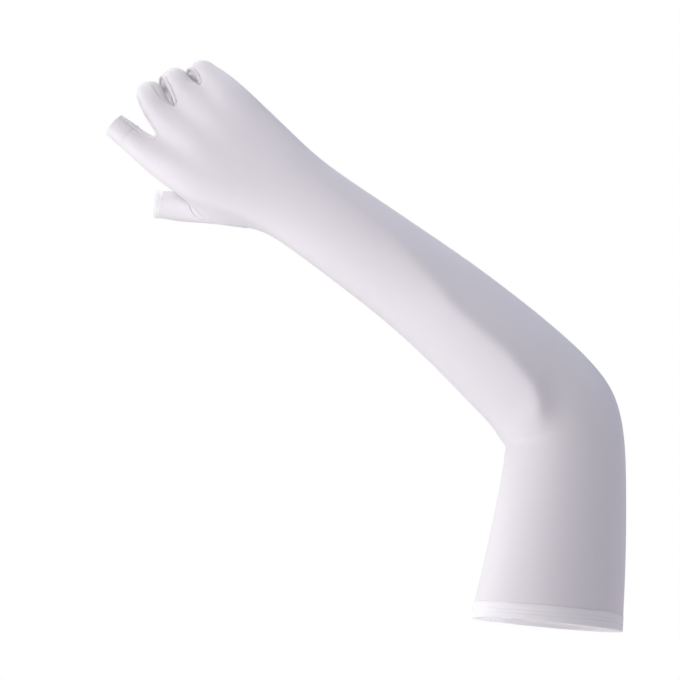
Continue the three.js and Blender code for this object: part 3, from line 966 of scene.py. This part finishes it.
def new_group(name, inputs, outputs):
    """Empty shader node group with named sockets."""
    group = bpy.data.node_groups.new(name, "ShaderNodeTree")
    for direction, sockets in (("INPUT", inputs), ("OUTPUT", outputs)):
        for label, kind in sockets:
            group.interface.new_socket(name=label, in_out=direction, socket_type=kind)
    start = add_node(group, "NodeGroupInput")
    end = add_node(group, "NodeGroupOutput")
    return group, start, end


def knit_loops_group():
    """Height of a fine plain knit, from the cloth's own map of wales and courses."""
    group, _, end = new_group("knit_loops", (), (("Height", "NodeSocketFloat"),))
    loops = add_node(group, "ShaderNodeUVMap", uv_map="knit")
    parts = add_node(group, "ShaderNodeSeparateXYZ")
    group.links.new(loops.outputs[0], parts.inputs[0])
    column = calculate(group, "FRACT", parts.outputs[0])
    off = calculate(group, "ABSOLUTE", calculate(group, "SUBTRACT", column, 0.5))
    side = calculate(group, "MULTIPLY", off, 2.0)
    leg = calculate(group, "ADD", parts.outputs[1], calculate(group, "MULTIPLY", side, 0.5))
    swing = calculate(group, "SINE", calculate(group, "MULTIPLY", leg, 2 * math.pi))
    crown = calculate(group, "SUBTRACT", 1.0, calculate(group, "MULTIPLY", side, side))
    loop = calculate(group, "ADD", calculate(group, "MULTIPLY", swing, 0.3), 0.7)
    group.links.new(calculate(group, "MULTIPLY", crown, loop), end.inputs["Height"])
    return group


def cloth_tone_group():
    """Soft clouds of colour and gloss over the cloth."""
    group, start, end = new_group(
        "cloth_tone",
        (("White", "NodeSocketColor"), ("Grey", "NodeSocketColor"), ("Scale", "NodeSocketFloat")),
        (("Color", "NodeSocketColor"), ("Roughness", "NodeSocketFloat")),
    )
    place = add_node(group, "ShaderNodeTexCoord")
    clouds = add_node(group, "ShaderNodeTexNoise")
    clouds.inputs["Detail"].default_value = 4.0
    group.links.new(place.outputs["Object"], clouds.inputs["Vector"])
    group.links.new(start.outputs["Scale"], clouds.inputs["Scale"])
    mix = add_node(group, "ShaderNodeMix", data_type="RGBA")
    group.links.new(clouds.outputs["Fac"], mix.inputs["Factor"])
    group.links.new(start.outputs["White"], mix.inputs["A"])
    group.links.new(start.outputs["Grey"], mix.inputs["B"])
    group.links.new(mix.outputs["Result"], end.inputs["Color"])
    gloss = add_node(group, "ShaderNodeMapRange")
    gloss.inputs["To Min"].default_value = 0.78
    gloss.inputs["To Max"].default_value = 0.9
    group.links.new(clouds.outputs["Fac"], gloss.inputs["Value"])
    group.links.new(gloss.outputs["Result"], end.inputs["Roughness"])
    return group


def cloth_material(name, white, grey, scale, depth):
    """White stretch knit: cloudy tone, fine loops and a soft bloom at the edges."""
    found = bpy.data.materials.get(name)
    if found:
        return found
    material = bpy.data.materials.new(name)
    material.use_nodes = True
    tree = material.node_tree
    shader = tree.nodes["Principled BSDF"]
    shader.inputs["Sheen Weight"].default_value = 0.12
    shader.inputs["Sheen Roughness"].default_value = 0.5
    shader.inputs["Specular IOR Level"].default_value = 0.35
    shader.inputs["Subsurface Weight"].default_value = 0.25
    shader.inputs["Subsurface Radius"].default_value = (1.0, 0.95, 0.95)
    shader.inputs["Subsurface Scale"].default_value = depth
    tone_group = bpy.data.node_groups.get("cloth_tone") or cloth_tone_group()
    loop_group = bpy.data.node_groups.get("knit_loops") or knit_loops_group()
    tone = add_node(tree, "ShaderNodeGroup", node_tree=tone_group)
    tone.inputs["White"].default_value = (*white, 1)
    tone.inputs["Grey"].default_value = (*grey, 1)
    tone.inputs["Scale"].default_value = scale
    tree.links.new(tone.outputs["Color"], shader.inputs["Base Color"])
    tree.links.new(tone.outputs["Roughness"], shader.inputs["Roughness"])
    loops = add_node(tree, "ShaderNodeGroup", node_tree=loop_group)
    relief = add_node(tree, "ShaderNodeBump")
    relief.inputs["Strength"].default_value = 0.35
    relief.inputs["Distance"].default_value = 0.05 * MM
    tree.links.new(loops.outputs["Height"], relief.inputs["Height"])
    tree.links.new(relief.outputs["Normal"], shader.inputs["Normal"])
    return material


def knit_material(cloth):
    """Single cloth."""
    return cloth_material("stretch_knit", cloth.white, cloth.grey, 45.0, 1.0 * MM)


def doubled_material(cloth):
    """Turned hems, where two layers look whiter."""
    grey = [0.97 * part for part in cloth.doubled_white]
    return cloth_material("doubled_knit", cloth.doubled_white, grey, 60.0, 3.0 * MM)


def thread_material(seams):
    """White sewing thread with a fine twist."""
    found = bpy.data.materials.get("thread")
    if found:
        return found
    material = bpy.data.materials.new("thread")
    material.use_nodes = True
    tree = material.node_tree
    shader = tree.nodes["Principled BSDF"]
    place = add_node(tree, "ShaderNodeTexCoord")
    twist = add_node(tree, "ShaderNodeTexNoise")
    twist.inputs["Scale"].default_value = 2500.0
    tree.links.new(place.outputs["Object"], twist.inputs["Vector"])
    mix = add_node(tree, "ShaderNodeMix", data_type="RGBA")
    mix.inputs["A"].default_value = (*seams.thread_white, 1)
    mix.inputs["B"].default_value = (*(0.93 * shade for shade in seams.thread_white), 1)
    tree.links.new(twist.outputs["Fac"], mix.inputs["Factor"])
    tree.links.new(mix.outputs["Result"], shader.inputs["Base Color"])
    shader.inputs["Roughness"].default_value = 0.5
    return material


def floor_material(stage):
    """Plain pale floor."""
    material = bpy.data.materials.new("floor")
    material.use_nodes = True
    tree = material.node_tree
    shader = tree.nodes["Principled BSDF"]
    shader.inputs["Base Color"].default_value = (*stage.floor_white, 1)
    shader.inputs["Roughness"].default_value = 0.9
    shader.inputs["Emission Color"].default_value = (*stage.floor_white, 1)
    shader.inputs["Emission Strength"].default_value = stage.floor_glow
    return material


def soft_light(place, brightness):
    """Square soft light on one side of the sleeve, turned to it and hidden from the camera."""
    lamp = bpy.data.lights.new(place["name"], "AREA")
    lamp.size = place["size"]
    lamp.spread = math.radians(place["spread"])
    lamp.energy = place["power"] * brightness
    lamp.color = place["colour"]
    light = new_object(place["name"], lamp)
    way = Vector(place["way"]).normalized()
    spot = Matrix.Translation(Vector(place["target"]) + way * place["distance"])
    light.matrix_world = spot @ way.to_track_quat("Z", "Y").to_matrix().to_4x4()
    light.visible_camera = False


def set_world(stage):
    """White behind the sleeve, and a dimmer, slightly cool light all round it."""
    world = bpy.data.worlds.new("studio")
    bpy.context.scene.world = world
    world.use_nodes = True
    tree = world.node_tree
    seen = tree.nodes["Background"]
    seen.inputs["Color"].default_value = (1, 1, 1, 1)
    around = add_node(tree, "ShaderNodeBackground")
    around.inputs["Color"].default_value = (*stage.ambient_colour, 1)
    around.inputs["Strength"].default_value = stage.ambient
    path = add_node(tree, "ShaderNodeLightPath")
    mix = add_node(tree, "ShaderNodeMixShader")
    tree.links.new(path.outputs["Is Camera Ray"], mix.inputs[0])
    tree.links.new(around.outputs[0], mix.inputs[1])
    tree.links.new(seen.outputs[0], mix.inputs[2])
    tree.links.new(mix.outputs[0], tree.nodes["World Output"].inputs["Surface"])


def set_camera(stage):
    """Long lens, a little below the sleeve and looking up at it, rolled as the picture is."""
    view = bpy.data.cameras.new("camera")
    view.lens = view.sensor_width * stage.camera_distance / stage.picture_width
    camera = new_object("camera", view)
    away = Vector((0, -math.cos(CAMERA_RISE), math.sin(CAMERA_RISE)))
    right = Vector((1, 0, 0))
    up = right.cross(-away)
    turned = right * math.cos(CAMERA_ROLL) + up * math.sin(CAMERA_ROLL)
    upright = up * math.cos(CAMERA_ROLL) - right * math.sin(CAMERA_ROLL)
    axes = Matrix((turned, upright, away)).transposed()
    stand = Vector(CAMERA_TARGET) + away * stage.camera_distance
    camera.matrix_world = Matrix.Translation(stand) @ axes.to_4x4()
    bpy.context.scene.camera = camera


class SLEEVE_OT_smooth_skin(bpy.types.Operator):
    """Welds the solids into one smooth skin and works the soft forms of the worn cloth into it"""

    bl_idname = "sleeve.smooth_skin"
    bl_label = "Smooth skin"

    def execute(self, context):
        skin = make_skin(context.scene.sleeve_cloth)
        sculpt_skin(skin, context.scene.sleeve_form)
        return {"FINISHED"}


class SLEEVE_OT_cloth(bpy.types.Operator):
    """Cuts the sleeve, the thumb and the strips between the fingers out of single cloth"""

    bl_idname = "sleeve.cloth"
    bl_label = "Single cloth"

    def execute(self, context):
        cloth, seams = context.scene.sleeve_cloth, context.scene.sleeve_seams
        skin = bpy.data.objects["whole_skin"]
        for panel in PANELS:
            if panel["layers"] == 1:
                piece = cut_panel(skin, panel, seams)
                thicken(piece, cloth.thickness, EDGE_ROUND)
                dress(piece, panel, knit_material(cloth))
        return {"FINISHED"}


class SLEEVE_OT_turned_hems(bpy.types.Operator):
    """Turns the hems of the arm, thumb and index finger in doubled cloth"""

    bl_idname = "sleeve.turned_hems"
    bl_label = "Turned hems"

    def execute(self, context):
        cloth, seams = context.scene.sleeve_cloth, context.scene.sleeve_seams
        skin = bpy.data.objects["whole_skin"]
        loops = rim_loops(skin)
        for panel in PANELS:
            if panel["layers"] == 2:
                piece = cut_panel(skin, panel, seams)
                apply_modifier(piece, "SUBSURF", levels=panel["finer"], render_levels=panel["finer"])
                shape_hem(piece, loops[panel["node"]], panel, seams.furrow)
                thicken(piece, cloth.doubled, EDGE_ROUND)
                finish = doubled_material if panel["slot"] == "doubled_cloth" else knit_material
                dress(piece, panel, finish(cloth))
        return {"FINISHED"}


class SLEEVE_OT_seams(bpy.types.Operator):
    """Raises the rolled seams round the thumb, between the fingers and down the side"""

    bl_idname = "sleeve.seams"
    bl_label = "Rolled seams"

    def execute(self, context):
        cloth, seams = context.scene.sleeve_cloth, context.scene.sleeve_seams
        skin = bpy.data.objects["whole_skin"]
        chains = seam_chains(skin)
        thumb = [chain for chain in chains if chain["panels"] == {"sleeve_body", "thumb_stall"}]
        fingers = [chain for chain in chains if chain["panels"] & set(FOURCHETTES)]
        rolled = []
        for chain in fingers:
            if FOURCHETTES[0] not in chain["panels"]:
                rolled += side_runs(chain, THUMB_WAY)
        pieces = (
            tube("thumb_seam", thumb, seams.welt, seams.welt * 0.2),
            tube("finger_seams", fingers, seams.finger_welt, seams.finger_welt * 0.3),
            tube("rolled_edges", rolled, seams.rolled_welt, seams.rolled_welt * 0.3),
            tube("thumb_fold", [laid_line(skin, THUMB_FOLD)], seams.welt, seams.welt * 0.4),
            tube("index_seam", [laid_line(skin, INDEX_SEAM)], seams.welt, seams.welt * 0.4),
            tube("side_seam", [side_seam(skin)], seams.side_welt, 0),
        )
        for piece in pieces:
            piece.data.materials.append(knit_material(cloth))
            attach(piece, "root")
        return {"FINISHED"}


class SLEEVE_OT_stitches(bpy.types.Operator):
    """Sews the rows of stitches round the turned hems"""

    bl_idname = "sleeve.stitches"
    bl_label = "Stitches"

    def execute(self, context):
        seams = context.scene.sleeve_seams
        loops = rim_loops(bpy.data.objects["whole_skin"])
        stitch = model_stitch(seams)
        for panel in PANELS:
            if panel.get("rows"):
                hem = bpy.data.objects[panel["piece"]]
                rows = [stitch_row(hem, loops[panel["node"]], reach, seams) for reach in panel["rows"]]
                piece = sew_rows(panel["node"] + "_stitches", stitch, rows, seams.thread * 0.1)
                piece.data.materials.append(thread_material(seams))
                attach(piece, "root")
        bpy.data.objects.remove(stitch)
        return {"FINISHED"}


class SLEEVE_OT_stage(bpy.types.Operator):
    """Sets the pale floor, the soft lights and the camera"""

    bl_idname = "sleeve.stage"
    bl_label = "Studio"

    def execute(self, context):
        stage = context.scene.sleeve_stage
        deselect()
        bpy.ops.mesh.primitive_plane_add(size=FLOOR_SIZE, location=(0, 0, 0))
        floor = context.active_object
        floor.name = "floor"
        floor.data.transform(Matrix.Translation((0, 0, -stage.floor_drop)))
        floor.data.materials.append(floor_material(stage))
        floor.visible_diffuse = False
        for place in LIGHTS:
            soft_light(place, stage.brightness)
        set_world(stage)
        set_camera(stage)
        context.scene.view_settings.view_transform = "Standard"
        return {"FINISHED"}


class SLEEVE_PT_sleeve(bpy.types.Panel):
    """Sizes and steps of the sleeve"""

    bl_label = "Sleeve"
    bl_idname = "SLEEVE_PT_sleeve"
    bl_space_type = "VIEW_3D"
    bl_region_type = "UI"
    bl_category = "Sleeve"

    def draw(self, context):
        for group in GROUPS:
            for name in group.__annotations__:
                self.layout.prop(getattr(context.scene, GROUPS[group]), name)
        for step in OPERATORS:
            self.layout.operator(step.bl_idname)


GROUPS = {
    SleeveCloth: "sleeve_cloth",
    SleeveForm: "sleeve_form",
    SleeveSeams: "sleeve_seams",
    SleeveStage: "sleeve_stage",
}
OPERATORS = (
    SLEEVE_OT_smooth_skin,
    SLEEVE_OT_cloth,
    SLEEVE_OT_turned_hems,
    SLEEVE_OT_seams,
    SLEEVE_OT_stitches,
    SLEEVE_OT_stage,
)


def register():
    """Registers the sizes, the steps and the panel."""
    for step in (*GROUPS, *OPERATORS, SLEEVE_PT_sleeve):
        bpy.utils.register_class(step)
    for group, name in GROUPS.items():
        setattr(bpy.types.Scene, name, PointerProperty(type=group))


def unregister():
    """Takes them out again."""
    for name in GROUPS.values():
        delattr(bpy.types.Scene, name)
    for step in reversed((*GROUPS, *OPERATORS, SLEEVE_PT_sleeve)):
        bpy.utils.unregister_class(step)


def main():
    """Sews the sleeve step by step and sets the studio."""
    register()
    bpy.ops.sleeve.smooth_skin()
    bpy.ops.sleeve.cloth()
    bpy.ops.sleeve.turned_hems()
    bpy.ops.sleeve.seams()
    bpy.ops.sleeve.stitches()
    bpy.data.objects.remove(bpy.data.objects["whole_skin"])
    bpy.ops.sleeve.stage()


if __name__ == "__main__":
    main()
